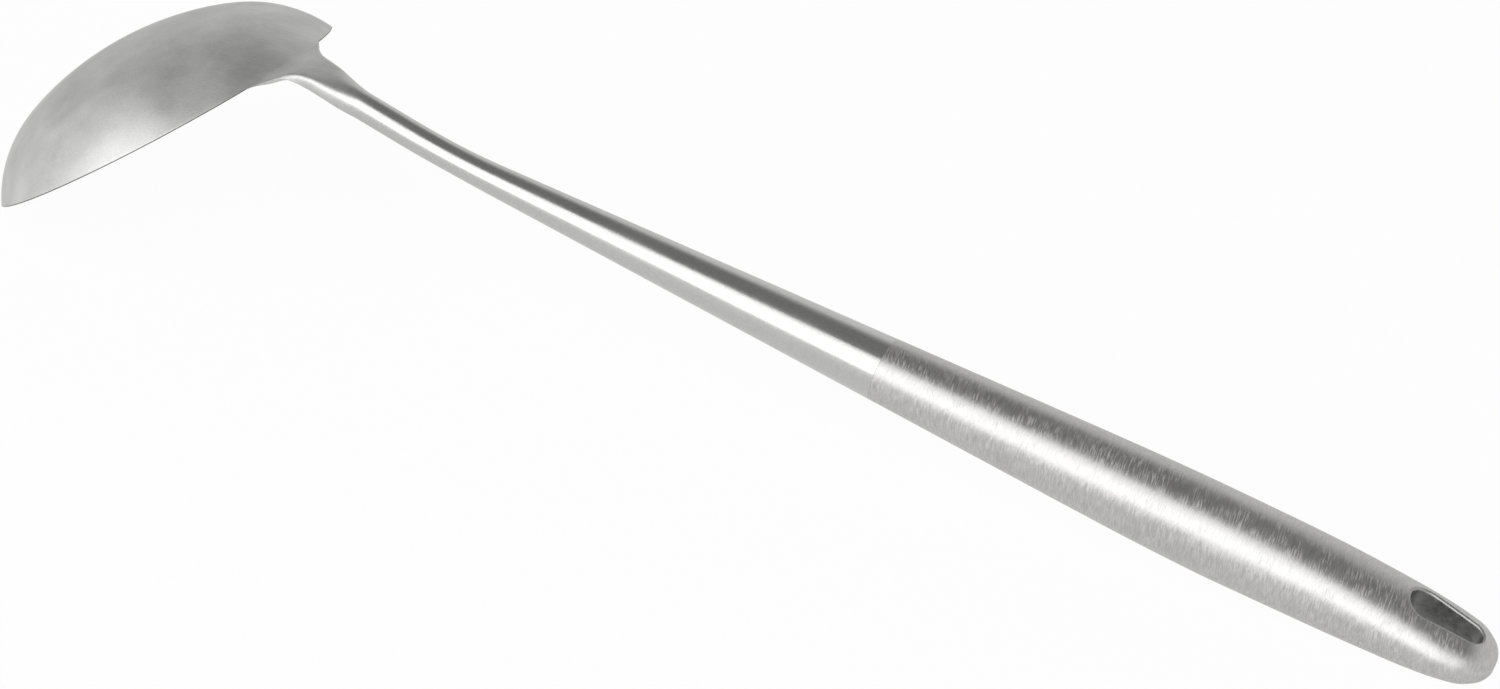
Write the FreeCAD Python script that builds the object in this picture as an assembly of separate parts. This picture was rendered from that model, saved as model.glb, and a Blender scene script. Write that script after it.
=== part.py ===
"""Wok ladle: a stamped bowl whose tongue is rolled into the shank, and a hollow pressed grip.

Drawn with the rim in the plane z = 0, the dome upward and the handle towards +X and down.
The ladle is then laid face down, as it rests: the rim's far point and the underside of
the nose both touch the plane z = 0.  Millimetres and degrees.
"""
import FreeCAD
import Part
import os
from math import atan2, ceil, cos, degrees, pi, radians, sin, sqrt

V = FreeCAD.Vector

# Bowl: a rounder wall runs into a spherical crown, sized by shares of the rim's radius
RIM_RADIUS = 55.0
BOWL_DEPTH = 25.9
CROWN_SHARE = 1.7273
REACH_SHARE = 0.5818
SHEET = 1.3

# Top line of the tongue and shank, from the rim: lengths, and the fall at the end of each
TOP_LINE = ((4.5, 15.0), (12.3, 49.0), (23.7, 49.0), (32.0, 43.0))

# Tongue: how far round the rim it reaches, and where its sections stand square to it
TONGUE_HALF_ANGLE = 17.8
TRIM_LENGTH = 4.5
LEAN_LENGTH = 6.0
# Half of its section, from the middle line to the free edge, is a centre, a fold and a flange.
# Distance from the rim, shares of centre and fold, then the turns of centre, fold and flange
ROLL_STEPS = (
    (1.5, 0.838, 0.075, 6.0, 8.0, 1.0),
    (3.0, 0.853, 0.089, 3.0, 30.0, 1.0),
    (4.5, 0.786, 0.114, 3.0, 50.0, 6.0),
    (6.5, 0.625, 0.152, 3.0, 66.0, 18.0),
    (9.0, 0.492, 0.180, 4.0, 74.0, 32.0),
    (12.0, 0.398, 0.208, 8.0, 74.0, 50.0),
    (16.0, 0.312, 0.237, 16.0, 66.0, 70.0),
    (21.0, 0.256, 0.265, 28.0, 57.0, 83.0),
)
RIM_SHARES = (0.712, 0.119)
TUBE_SHARES = (0.237, 0.284)
ROLLED_AT = 26.0
SEAM_GAP = 0.25

# Shank: an even tube that swells up to the weld (places are distances from the rim)
SHANK_RADIUS = 4.05
EVEN_TO = 52.5
SWELL_LENGTH = 16.0
WELD_AT = 193.9
WELD_RADIUS = 8.87

# Grip: the tube swells to its full size, then is pressed flatter towards the nose
GRIP_WALL = 1.2
GRIP_RADIUS = 11.85
GRIP_SWELL = 0.42
PRESS_FROM = 300.5
PRESS_DEPTH = 4.6
PRESS_POWER = 1.7
PRESS_SHOULDER = 64.0
PRESS_SPACING = 12.0
NOSE_AT = 367.6
NOSE_CORNER = 10.5
NOSE_ROUND = 8.5
NOSE_SOLID = 8.0
NOSE_CAP = 0.15

# Hanging slot, through both faces of the pressed end, with its own wall
SLOT_AT = 349.6
SLOT_LENGTH = 20.4
SLOT_WIDTH = 8.3
SLOT_WALL = 1.2


def direction(drop):
    """Unit vector in the plane of symmetry that falls by an angle below +X."""
    return V(cos(radians(drop)), 0, -sin(radians(drop)))


def rising(drop):
    """Unit vector square to direction(drop), on the dome's side."""
    return V(sin(radians(drop)), 0, cos(radians(drop)))


def ease(part):
    """0 to 1 with flat ends."""
    part = min(max(part, 0.0), 1.0)
    return part * part * (3.0 - 2.0 * part)


# Worked out from the sizes above: the wall's arc touches the crown's and ends at the rim
CROWN_RADIUS = RIM_RADIUS * CROWN_SHARE
CROWN_REACH = RIM_RADIUS * REACH_SHARE
CROWN_CENTRE = BOWL_DEPTH - CROWN_RADIUS
CROWN_TURN = degrees(atan2(CROWN_REACH, sqrt(CROWN_RADIUS ** 2 - CROWN_REACH ** 2)))
TOUCH = V(0, 0, CROWN_CENTRE) + rising(CROWN_TURN) * CROWN_RADIUS
TO_RIM = V(RIM_RADIUS, 0, 0) - TOUCH
WALL_RADIUS = -TO_RIM.dot(TO_RIM) / (2.0 * TO_RIM.dot(rising(CROWN_TURN)))
WALL_CENTRE = TOUCH - rising(CROWN_TURN) * WALL_RADIUS
WALL_SLOPE = degrees(atan2(RIM_RADIUS - WALL_CENTRE.x, -WALL_CENTRE.z))
CURVED_TO = sum(length for length, _ in TOP_LINE)
HANDLE_DROP = TOP_LINE[-1][1]
SHANK_MID = SHANK_RADIUS - SHEET / 2.0
SEAM_HALF_TURN = degrees(SEAM_GAP / 2.0 / SHANK_MID)


def rim_radius(offset):
    """Radius of the wall in the rim's plane, moved inward by an offset."""
    return WALL_CENTRE.x + sqrt((WALL_RADIUS - offset) ** 2 - WALL_CENTRE.z ** 2)


def arc(centre, radius, steep, flat):
    """Arc in the plane of symmetry on the bowl's far side, between two slopes of its surface."""
    middle = (steep + flat) / 2.0
    turns = [V(-sin(radians(turn)), 0, cos(radians(turn))) for turn in (steep, middle, flat)]
    return Part.Arc(*[centre + turn * radius for turn in turns]).toShape()


def dome_edges(offset):
    """Wall and crown of the bowl's outline, moved inward by an offset."""
    wall_centre = V(-WALL_CENTRE.x, 0, WALL_CENTRE.z)
    steep = degrees(atan2(rim_radius(offset) - WALL_CENTRE.x, -WALL_CENTRE.z))
    return [arc(wall_centre, WALL_RADIUS - offset, steep, CROWN_TURN),
            arc(V(0, 0, CROWN_CENTRE), CROWN_RADIUS - offset, CROWN_TURN, 0.0)]


def bowl():
    """Revolved shell with a flat-trimmed rim."""
    crown = Part.makeLine(V(0, 0, BOWL_DEPTH), V(0, 0, BOWL_DEPTH - SHEET))
    rim = Part.makeLine(V(-RIM_RADIUS, 0, 0), V(-rim_radius(SHEET), 0, 0))
    outline = Part.Wire(Part.__sortEdges__(dome_edges(0.0) + dome_edges(SHEET) + [crown, rim]))
    return Part.Face(outline).revolve(V(0, 0, 0), V(0, 0, 1), 360)


def top_point(distance):
    """Place on the top line at a distance from the rim, and how steeply it falls there."""
    place, drop = V(RIM_RADIUS, 0, 0), WALL_SLOPE
    for length, end in TOP_LINE:
        part = max(min(distance, length), 0.0)
        turn = (end - drop) * part / length
        if abs(turn) < 1e-6:
            place += direction(drop) * part
        else:
            radius = part / radians(turn)
            place += (rising(drop + turn) - rising(drop)) * radius
        drop += turn
        distance -= length
    return place + direction(drop) * max(distance, 0.0), drop


def rolled_section(top, lean, wall, pieces):
    """Closed outline of the sheet's section, in a plane whose normal leans down by an angle.

    Each piece of the half section is a middle-surface length and the angle it turns through.
    """
    up, side = rising(lean), V(0, 1, 0)
    flip = lambda point: V(point.x, -point.y, point.z)
    place, heading = top - up * (wall / 2.0), 0.0
    outer, inner = [], []
    for length, turn in pieces:
        radius = length / radians(turn)
        normal = up * cos(radians(heading)) + side * sin(radians(heading))
        centre = place - normal * radius
        arcs = []
        for reach in (radius + wall / 2.0, radius - wall / 2.0):
            angles = [radians(heading + turn * share) for share in (0.0, 0.5, 1.0)]
            arcs.append([centre + (up * cos(a) + side * sin(a)) * reach for a in angles])
        outer.append(arcs[0])
        inner.append(arcs[1])
        heading += turn
        place = centre + (up * cos(radians(heading)) + side * sin(radians(heading))) * radius
    edges = []
    for arcs, order in ((outer, 1), (inner, -1)):
        half = [list(arc) for arc in arcs]
        middle = half[0]
        chain = [[flip(p) for p in reversed(arc)] for arc in reversed(half[1:])]
        chain.append([flip(middle[2]), middle[0], middle[2]])
        chain += half[1:]
        if order < 0:
            chain = [list(reversed(arc)) for arc in reversed(chain)]
        edges.append([Part.Arc(*arc).toShape() for arc in chain])
    end_out, end_in = outer[-1][2], inner[-1][2]
    across = Part.makeLine(end_out, end_in)
    back = Part.makeLine(flip(end_in), flip(end_out))
    return Part.Wire(edges[0] + [across] + edges[1] + [back])


def tongue_width(distance):
    """Half of the flat blank's width, trimmed in a curve from the rim to the rolled tube."""
    rolled = SHANK_MID * radians(180.0 - SEAM_HALF_TURN)
    at_rim = (RIM_RADIUS + rim_radius(SHEET)) / 2.0 * radians(TONGUE_HALF_ANGLE)
    left = 1.0 - min(distance / TRIM_LENGTH, 1.0)
    return rolled + (at_rim - rolled) * left ** 2


def split(width, centre, fold):
    """Lengths of centre, fold and flange in half of the tongue's section."""
    return [width * centre, width * fold, width * (1.0 - centre - fold)]


def roll_steps():
    """Distance, lengths and turns of every section, from the rim to the closed tube."""
    steps = []
    for distance, centre, fold, *turns in ROLL_STEPS:
        steps.append((distance, split(tongue_width(distance), centre, fold), turns))
    rim_middle = (RIM_RADIUS + rim_radius(SHEET)) / 2.0
    for distance, shares, middle in ((0.0, RIM_SHARES, rim_middle),
                                     (ROLLED_AT, TUBE_SHARES, SHANK_MID)):
        lengths = split(tongue_width(distance), *shares)
        steps.append((distance, lengths, [degrees(length / middle) for length in lengths]))
    return sorted(steps)


def neck():
    """The tongue, from its place in the rim to the closed tube."""
    sections = []
    for distance, lengths, turns in roll_steps():
        top, drop = top_point(distance)
        lean = 90.0 + (drop - 90.0) * ease(distance / LEAN_LENGTH)
        wall = SHEET / cos(radians(lean - drop)) if distance else RIM_RADIUS - rim_radius(SHEET)
        sections.append(rolled_section(top, lean, wall, list(zip(lengths, turns))))
    return Part.makeLoft(sections, True, True)


def shank_radius(place):
    """Outside radius of the shank: even, a short swell, then a steady taper up to the weld."""
    taper = (WELD_RADIUS - SHANK_RADIUS) / (WELD_AT - EVEN_TO - SWELL_LENGTH / 2.0)
    past = max(place - EVEN_TO, 0.0)
    if past < SWELL_LENGTH:
        return SHANK_RADIUS + taper * past ** 2 / (2.0 * SWELL_LENGTH)
    return SHANK_RADIUS + taper * (past - SWELL_LENGTH / 2.0)


def open_ring(place):
    """Section of the shank: a ring parted on its underside by the seam."""
    top, drop = top_point(place)
    middle, outer = top - rising(drop) * SHANK_RADIUS, shank_radius(place)
    half_gap = SEAM_GAP / 2.0 / (outer - SHEET / 2.0)
    arcs, ends = [], []
    for radius in (outer, outer - SHEET):
        turns = (half_gap, pi, 2.0 * pi - half_gap)
        spokes = [V(0, 1, 0) * sin(turn) - rising(drop) * cos(turn) for turn in turns]
        points = [middle + spoke * radius for spoke in spokes]
        arcs.append(Part.Arc(*points).toShape())
        ends.append((points[0], points[2]))
    caps = [Part.makeLine(outside, inside) for outside, inside in zip(*ends)]
    return Part.Wire(Part.__sortEdges__(arcs + caps))


def shank():
    """Rolled tube along the top line, straight-sided between its sections."""
    places = [ROLLED_AT, CURVED_TO - TOP_LINE[-1][0], CURVED_TO, WELD_AT]
    places += [EVEN_TO + SWELL_LENGTH * share for share in (0.0, 0.5, 1.0)]
    return Part.makeLoft([open_ring(place) for place in sorted(places)], True, True)


def along_handle(shape):
    """Carry a shape drawn along +X, with the rim at x = 0, to the handle's axis."""
    top, drop = top_point(CURVED_TO)
    shape.translate(V(-CURVED_TO, 0, 0))
    shape.rotate(V(0, 0, 0), V(0, 1, 0), HANDLE_DROP)
    shape.translate(top - rising(HANDLE_DROP) * SHANK_RADIUS)
    return shape


def grip_radius(place):
    """Radius of the unpressed grip: one bowed outline from the weld to the pressed end."""
    share = min(max((place - WELD_AT) / (PRESS_FROM - WELD_AT), 0.0), 1.0)
    return WELD_RADIUS + (GRIP_RADIUS - WELD_RADIUS) * share + 4.0 * GRIP_SWELL * share * (1.0 - share)


def swelling_tube():
    """Round part of the grip, from the weld to the pressed end."""
    edges = []
    for offset in (0.0, GRIP_WALL):
        places = (WELD_AT, (WELD_AT + PRESS_FROM) / 2.0, PRESS_FROM)
        edges.append(Part.Arc(*[V(x, 0, grip_radius(x) - offset) for x in places]).toShape())
    for x in (WELD_AT, PRESS_FROM):
        edges.append(Part.makeLine(V(x, 0, grip_radius(x)), V(x, 0, grip_radius(x) - GRIP_WALL)))
    return Part.Face(Part.Wire(Part.__sortEdges__(edges))).revolve(V(0, 0, 0), V(1, 0, 0), 360)


def closing(left, length, power):
    """1 along the grip and down to 0 at the nose, as the end of an oval."""
    inward = 1.0 - min(left / length, 1.0)
    return (1.0 - inward ** power) ** (1.0 / power)


def pressed_oval(place, offset=0.0):
    """Half thickness and half width of the pressed end's section, moved inward."""
    pressed = (max(place - PRESS_FROM, 0.0) / (SLOT_AT - PRESS_FROM)) ** PRESS_POWER
    left = NOSE_AT - place
    thick = (grip_radius(place) - PRESS_DEPTH * pressed) * closing(left, NOSE_ROUND, 1.8)
    wide = grip_radius(place) * closing(left, NOSE_CORNER, 2.2)
    return thick - offset, wide - offset


def oval_wire(place, thick, wide):
    """Section across the handle: flat arcs above and below, joined by rounder arcs at the sides."""
    shoulder = V(0, cos(radians(PRESS_SHOULDER)), sin(radians(PRESS_SHOULDER)))
    gain = (wide - thick) / (shoulder.y + shoulder.z - 1.0)
    side = thick - gain * (1.0 - shoulder.z)
    corner = V(place, wide - side + side * shoulder.y, side * shoulder.z)
    turns = [(1, 1), (-1, 1), (-1, -1), (1, -1)]
    corners = [V(place, corner.y * y, corner.z * z) for y, z in turns]
    middles = [V(place, 0, thick), V(place, -wide, 0), V(place, 0, -thick), V(place, wide, 0)]
    arcs = [Part.Arc(corners[i], middles[i], corners[(i + 1) % 4]).toShape() for i in range(4)]
    return Part.Wire(arcs)


def pressed_end(offset, end):
    """Solid of the pressed end's form moved inward, from the round tube to a place near the nose."""
    straight = NOSE_AT - NOSE_CORNER - PRESS_FROM
    steps = ceil(straight / PRESS_SPACING)
    places = [PRESS_FROM + straight * step / steps for step in range(steps + 1)]
    places += [NOSE_AT - NOSE_CORNER * share for share in (0.7, 0.44, 0.22, 0.07)]
    places = [place for place in places if place < end - 0.01] + [end]
    wires = [oval_wire(place, *pressed_oval(place, offset)) for place in places]
    return Part.makeLoft(wires, True, True)


def slot_prism(grow):
    """Oblong bar through the pressed end, larger all round by an amount."""
    radius = SLOT_WIDTH / 2.0 + grow
    half = SLOT_LENGTH / 2.0 - SLOT_WIDTH / 2.0
    depth = 2.0 * (grip_radius(NOSE_AT) + SHEET)
    left, right = SLOT_AT - half, SLOT_AT + half
    outline = Part.Wire([
        Part.makeLine(V(left, -radius, 0), V(right, -radius, 0)),
        Part.Arc(V(right, -radius, 0), V(right + radius, 0, 0), V(right, radius, 0)).toShape(),
        Part.makeLine(V(right, radius, 0), V(left, radius, 0)),
        Part.Arc(V(left, radius, 0), V(left - radius, 0, 0), V(left, -radius, 0)).toShape()])
    prism = Part.Face(outline).extrude(V(0, 0, depth))
    prism.translate(V(0, 0, -depth / 2.0))
    return prism


def grip():
    """Hollow tube with a pressed, closed end and the slot's wall."""
    outside = pressed_end(0.0, NOSE_AT - NOSE_CAP)
    hollow = pressed_end(GRIP_WALL, NOSE_AT - NOSE_SOLID)
    wall = outside.common(slot_prism(SLOT_WALL))
    end = outside.cut(hollow).fuse(wall).cut(slot_prism(0.0))
    return swelling_tube().fuse(end).removeSplitter().Solids[0]


def rest_tilt():
    """Angle of the rim's plane to the table, from the rim's far point to the nose's underside."""
    steepest = 0.0
    for step in range(200):
        place = WELD_AT + (NOSE_AT - NOSE_CAP - WELD_AT) * step / 199.0
        under = along_handle(Part.Vertex(place, 0, -pressed_oval(place)[0])).Point
        steepest = max(steepest, degrees(atan2(-under.z, under.x + RIM_RADIUS)))
    return steepest


def lay_down(shapes):
    """Turn the ladle onto its rim and nose, and centre its footprint on the origin."""
    for shape in shapes:
        shape.rotate(V(0, 0, 0), V(0, 1, 0), -rest_tilt())
    box = Part.makeCompound(shapes).optimalBoundingBox(False, False)
    for shape in shapes:
        shape.translate(V(-(box.XMin + box.XMax) / 2.0, 0, -box.ZMin))


def main():
    sheet = bowl().fuse(neck()).fuse(shank()).removeSplitter()
    parts = {"bowl_and_shank": sheet.Solids[0], "grip": along_handle(grip())}
    lay_down(list(parts.values()))
    os.makedirs("parts", exist_ok=True)
    for name, shape in parts.items():
        shape.exportStep("parts/" + name + ".step")
        box = shape.optimalBoundingBox(False, False)
        print(name, shape.isValid(), len(shape.Faces), round(shape.Volume, 1), box)


main()
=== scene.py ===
"""Looks of a stainless steel wok ladle that lies face down on a pale table.

The forms are drawn in millimetres in the bowl's own frame: the rim is the plane z = 0, the
dome rises towards +z, and the handle leaves towards +x and falls.  A Placement lays them
down as the ladle rests and turns them into metres.
"""
import logging
import math
from dataclasses import dataclass, field
from enum import Enum
from typing import Any, Sequence

import bmesh
import bpy
import numpy as np
from mathutils import Matrix, Vector


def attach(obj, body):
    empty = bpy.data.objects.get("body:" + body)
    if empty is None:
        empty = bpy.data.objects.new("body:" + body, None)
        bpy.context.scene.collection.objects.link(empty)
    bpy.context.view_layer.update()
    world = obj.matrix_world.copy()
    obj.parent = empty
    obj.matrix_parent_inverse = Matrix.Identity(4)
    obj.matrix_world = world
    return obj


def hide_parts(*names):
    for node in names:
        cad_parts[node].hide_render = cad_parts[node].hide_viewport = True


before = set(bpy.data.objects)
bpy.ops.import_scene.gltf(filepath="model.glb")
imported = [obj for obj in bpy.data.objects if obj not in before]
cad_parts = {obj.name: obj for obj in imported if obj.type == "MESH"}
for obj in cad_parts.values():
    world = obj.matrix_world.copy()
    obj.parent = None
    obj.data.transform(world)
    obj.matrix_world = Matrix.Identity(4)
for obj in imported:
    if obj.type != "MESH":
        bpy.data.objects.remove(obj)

Array = np.ndarray
Triple = tuple[float, float, float]
LOG = logging.getLogger("wok_ladle")
MM = 0.001
WHITE = (1.0, 1.0, 1.0, 1.0)
MIRROR = np.array([1.0, -1.0, 1.0])
SIDEWAYS = np.array([0.0, 1.0, 0.0])
# Points along a bowl's outline while it is measured
FINE = 900
# A rounding of radius 1: how far along the handle and how far inward it has gone
ROUNDING = ((0.0, 0.0), (0.53, 0.05), (0.87, 0.23), (1.0, 0.53))


# Arithmetic of shapes

def ease(share: Array) -> Array:
    """Go from 0 to 1 with flat ends: three times the square less twice the cube.

    Args:
        share: Any numbers; below 0 counts as 0 and above 1 as 1.

    Returns:
        The eased numbers.
    """
    share = np.clip(share, 0.0, 1.0)
    return share * share * (3.0 - 2.0 * share)


def smooth_through(at: Array, knots: Sequence[float], values: Sequence[float]) -> Array:
    """Read a curve that passes through knots without overshooting.

    Between two knots it is a cubic.  Its slope at an inner knot is the harmonic mean of the
    two chords' slopes, or 0 where the chords turn back.

    Args:
        at: Where to read it; beyond the ends the end values hold.
        knots: Rising places of the knots.
        values: The curve's values there.

    Returns:
        The values at those places.
    """
    spots, heights = np.asarray(knots, float), np.asarray(values, float)
    gaps = np.diff(spots)
    chords = np.diff(heights) / gaps
    onward = chords[1:] * chords[:-1] > 0.0
    total = np.where(onward, chords[1:] + chords[:-1], 1.0)
    inner = np.where(onward, 2.0 * chords[1:] * chords[:-1] / total, 0.0)
    slopes = np.concatenate([chords[:1], inner, chords[-1:]])
    at = np.clip(at, spots[0], spots[-1])
    low = np.clip(np.searchsorted(spots, at, side="right") - 1, 0, len(spots) - 2)
    t, gap = (at - spots[low]) / gaps[low], gaps[low]
    start = heights[low] * (1 + 2 * t) * (1 - t) ** 2 + slopes[low] * gap * t * (1 - t) ** 2
    end = heights[low + 1] * t * t * (3 - 2 * t) + slopes[low + 1] * gap * t * t * (t - 1)
    return start + end


def running_sum(rates: Array, spots: Array) -> Array:
    """Integrate by trapezia along the last axis, from 0 at the first spot."""
    steps = (rates[..., 1:] + rates[..., :-1]) / 2.0 * np.diff(spots)
    return np.concatenate([np.zeros(steps.shape[:-1] + (1,)), np.cumsum(steps, axis=-1)], axis=-1)


def even_places(curve: Array, count: int) -> Array:
    """Points at equal steps of length along a polyline.

    Args:
        curve: Dense points, one a row.
        count: How many points to give back.

    Returns:
        The points, with both ends kept.
    """
    length = np.concatenate([[0.0], np.cumsum(np.linalg.norm(np.diff(curve, axis=0), axis=1))])
    wanted = np.linspace(0.0, length[-1], count)
    return np.stack([np.interp(wanted, length, column) for column in curve.T], axis=-1)


def falling(drop: float) -> Array:
    """Unit vector in the plane of symmetry that falls by an angle in degrees below +x."""
    return np.array([math.cos(math.radians(drop)), 0.0, -math.sin(math.radians(drop))])


def square_to(drop: float) -> Array:
    """Unit vector square to falling(drop), on the dome's side."""
    return np.array([math.sin(math.radians(drop)), 0.0, math.cos(math.radians(drop))])


# Meshes

@dataclass
class Patch:
    """A grid of points that becomes quads.

    Attributes:
        points: Rows by columns by 3, in millimetres in the bowl's frame.
        lay: Rows by columns by 2: how the finish runs, in metres along and around.
        finish: Which of the piece's materials it wears.
    """

    points: Array
    lay: Array
    finish: int = 0


@dataclass(frozen=True)
class Placement:
    """Where the ladle lies: the tilt of its rim to the table, then a shift.

    Attributes:
        tilt: Degrees between the rim's plane and the table.
        shift: Millimetres along x and z that centre the footprint and reach the table.
    """

    tilt: float = 34.76567
    shift: tuple[float, float] = (-180.90515, 31.36218)

    def to_metres(self, points: Array) -> Array:
        """Turn points by the tilt about the y axis, shift them and scale them to metres.

        Args:
            points: Millimetres in the bowl's frame.

        Returns:
            Metres in the frame of the whole ladle.
        """
        c, s = math.cos(math.radians(self.tilt)), math.sin(math.radians(self.tilt))
        x, y, z = points[..., 0], points[..., 1], points[..., 2]
        laid = np.stack([x * c - z * s + self.shift[0], y, x * s + z * c + self.shift[1]], axis=-1)
        return laid * MM


def make_piece(name: str, patches: Sequence[Patch], finishes: Sequence[bpy.types.Material],
               placement: Placement) -> bpy.types.Object:
    """Join patches into one closed, smooth-shaded piece at the origin.

    Args:
        name: Name of the new object.
        patches: Grids that touch along their borders.
        finishes: Materials, in the order that the patches number them.
        placement: Where the ladle lies.

    Returns:
        The object.
    """
    corners, faces, lays, wears, first = [], [], [], [], 0
    for patch in patches:
        rows, columns = patch.points.shape[:2]
        ids = np.arange(rows * columns).reshape(rows, columns) + first
        first += rows * columns
        quads = np.stack([ids[:-1, :-1], ids[:-1, 1:], ids[1:, 1:], ids[1:, :-1]], axis=-1)
        corners.append(placement.to_metres(patch.points).reshape(-1, 3))
        lays.append(patch.lay.reshape(-1, 2))
        faces.append(quads.reshape(-1, 4))
        wears.append(np.full(len(faces[-1]), patch.finish))
    every = np.concatenate(faces)
    mesh = bpy.data.meshes.new(name)
    mesh.from_pydata(np.concatenate(corners).tolist(), [], every.tolist())
    layer = mesh.uv_layers.new(name="lay")
    layer.data.foreach_set("uv", np.concatenate(lays)[every.reshape(-1)].reshape(-1))
    for finish in finishes:
        mesh.materials.append(finish)
    mesh.polygons.foreach_set("material_index", np.concatenate(wears))
    shell = bmesh.new()
    shell.from_mesh(mesh)
    bmesh.ops.remove_doubles(shell, verts=shell.verts, dist=1e-6)
    bmesh.ops.dissolve_degenerate(shell, edges=shell.edges, dist=2e-7)
    bmesh.ops.recalc_face_normals(shell, faces=shell.faces)
    if shell.calc_volume(signed=True) < 0.0:
        bmesh.ops.reverse_faces(shell, faces=shell.faces)
    open_edges = sum(1 for edge in shell.edges if not edge.is_manifold)
    shell.to_mesh(mesh)
    shell.free()
    mesh.shade_smooth()
    piece = bpy.data.objects.new(name, mesh)
    bpy.context.scene.collection.objects.link(piece)
    LOG.info("%s: %d faces, %d open edges", name, len(mesh.polygons), open_edges)
    return piece


def lay_grid(along: Array, around: Array) -> Array:
    """Lay of a finish in metres, from lengths along and around in millimetres."""
    return np.stack(np.broadcast_arrays(along, around), axis=-1) * MM


def rounded_edge(outer: Array, inner: Array, outward: Array, swell: float) -> Array:
    """Carry a softly squared edge from the outer to the inner border of a sheet.

    Across the sheet the edge is a superellipse: the cosine and sine of half a turn, each
    raised to a power below one, give a flat edge with two small rounded corners.

    Args:
        outer: Points of the outer border.
        inner: Points of the inner border, one for each outer point.
        outward: Vectors from the sheet's middle out of its edge.
        swell: How far the edge stands out beyond both borders, in millimetres.

    Returns:
        Nine rows of points, from the outer border to the inner.
    """
    turn = np.linspace(0.0, math.pi, 9)[:, None, None]
    across = np.sign(np.cos(turn)) * np.abs(np.cos(turn)) ** 0.4
    out = np.abs(np.sin(turn)) ** 0.4
    return (outer + inner) / 2.0 + (outer - inner) / 2.0 * across + outward * swell * out


# The sheet: bowl, neck and shank

@dataclass
class BowlProfile:
    """The bowl's outline from its crown to its rim.

    Attributes:
        rim_radius: Outside radius at the rim.
        depth: Height of the crown over the rim.
        crown_bend: Radius of the outline's bend at the crown.
        wall_bend: Radius of its bend in the wall.
        easing: Slopes in degrees between which one bend passes into the other.
        rim_slope: Slope of the wall at the rim, in degrees.
        sheet: Thickness of the metal.
        near_rim: Length above the rim along which the rows stand closer.
    """

    rim_radius: float = 55.0
    depth: float = 25.9
    crown_bend: float = 95.0
    wall_bend: float = 41.3
    easing: tuple[float, float] = (11.0, 30.0)
    rim_slope: float = 62.96
    sheet: float = 1.3
    near_rim: float = 8.0

    def outline(self, offset: float, floor: float, count: int) -> tuple[Array, Array]:
        """Radius and height down the outline, with a bend that changes smoothly.

        The slope runs evenly from 0 to the rim's slope.  Radius is the integral of the bend
        times the cosine of the slope, and depth that of the bend times the sine.  Both are
        then scaled to the rim's radius and the bowl's depth.

        Args:
            offset: How far inside the outer surface to run.
            floor: Height at which the outline stops.
            count: How many points to give back.

        Returns:
            Radii and heights, closer together along the last few millimetres.
        """
        slope = np.radians(np.linspace(0.0, self.rim_slope, FINE))
        low, high = np.radians(self.easing[0]), np.radians(self.easing[1])
        bend = self.crown_bend + (self.wall_bend - self.crown_bend) * ease((slope - low) / (high - low))
        radius = running_sum(bend * np.cos(slope), slope)
        fall = running_sum(bend * np.sin(slope), slope)
        radius = radius * self.rim_radius / radius[-1]
        height = self.depth * (1.0 - fall / fall[-1])
        run, rise = np.gradient(radius), np.gradient(height)
        size = np.hypot(run, rise)
        radius, height = radius + rise / size * offset, height - run / size * offset
        radius[0] = 0.0
        keep = height > floor
        end = np.interp(floor, height[::-1], radius[::-1])
        line = np.column_stack([np.append(radius[keep], end), np.append(height[keep], floor)])
        line = even_places(line, FINE)
        length = float(np.linalg.norm(np.diff(line, axis=0), axis=1).sum())
        close = count // 3
        wanted = np.concatenate([np.linspace(0.0, length - self.near_rim, count - close, endpoint=False),
                                 np.linspace(length - self.near_rim, length, close)])
        at = wanted / length * (FINE - 1)
        return tuple(np.interp(at, np.arange(FINE), column) for column in line.T)

    def revolve(self, offset: float, floor: float, turns: Array, rows: int) -> Array:
        """Carry the outline round the bowl's axis to the given angles."""
        radius, height = self.outline(offset, floor, rows)
        return np.stack([radius[:, None] * np.cos(turns), radius[:, None] * np.sin(turns),
                         np.repeat(height[:, None], len(turns), axis=1)], axis=-1)


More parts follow.
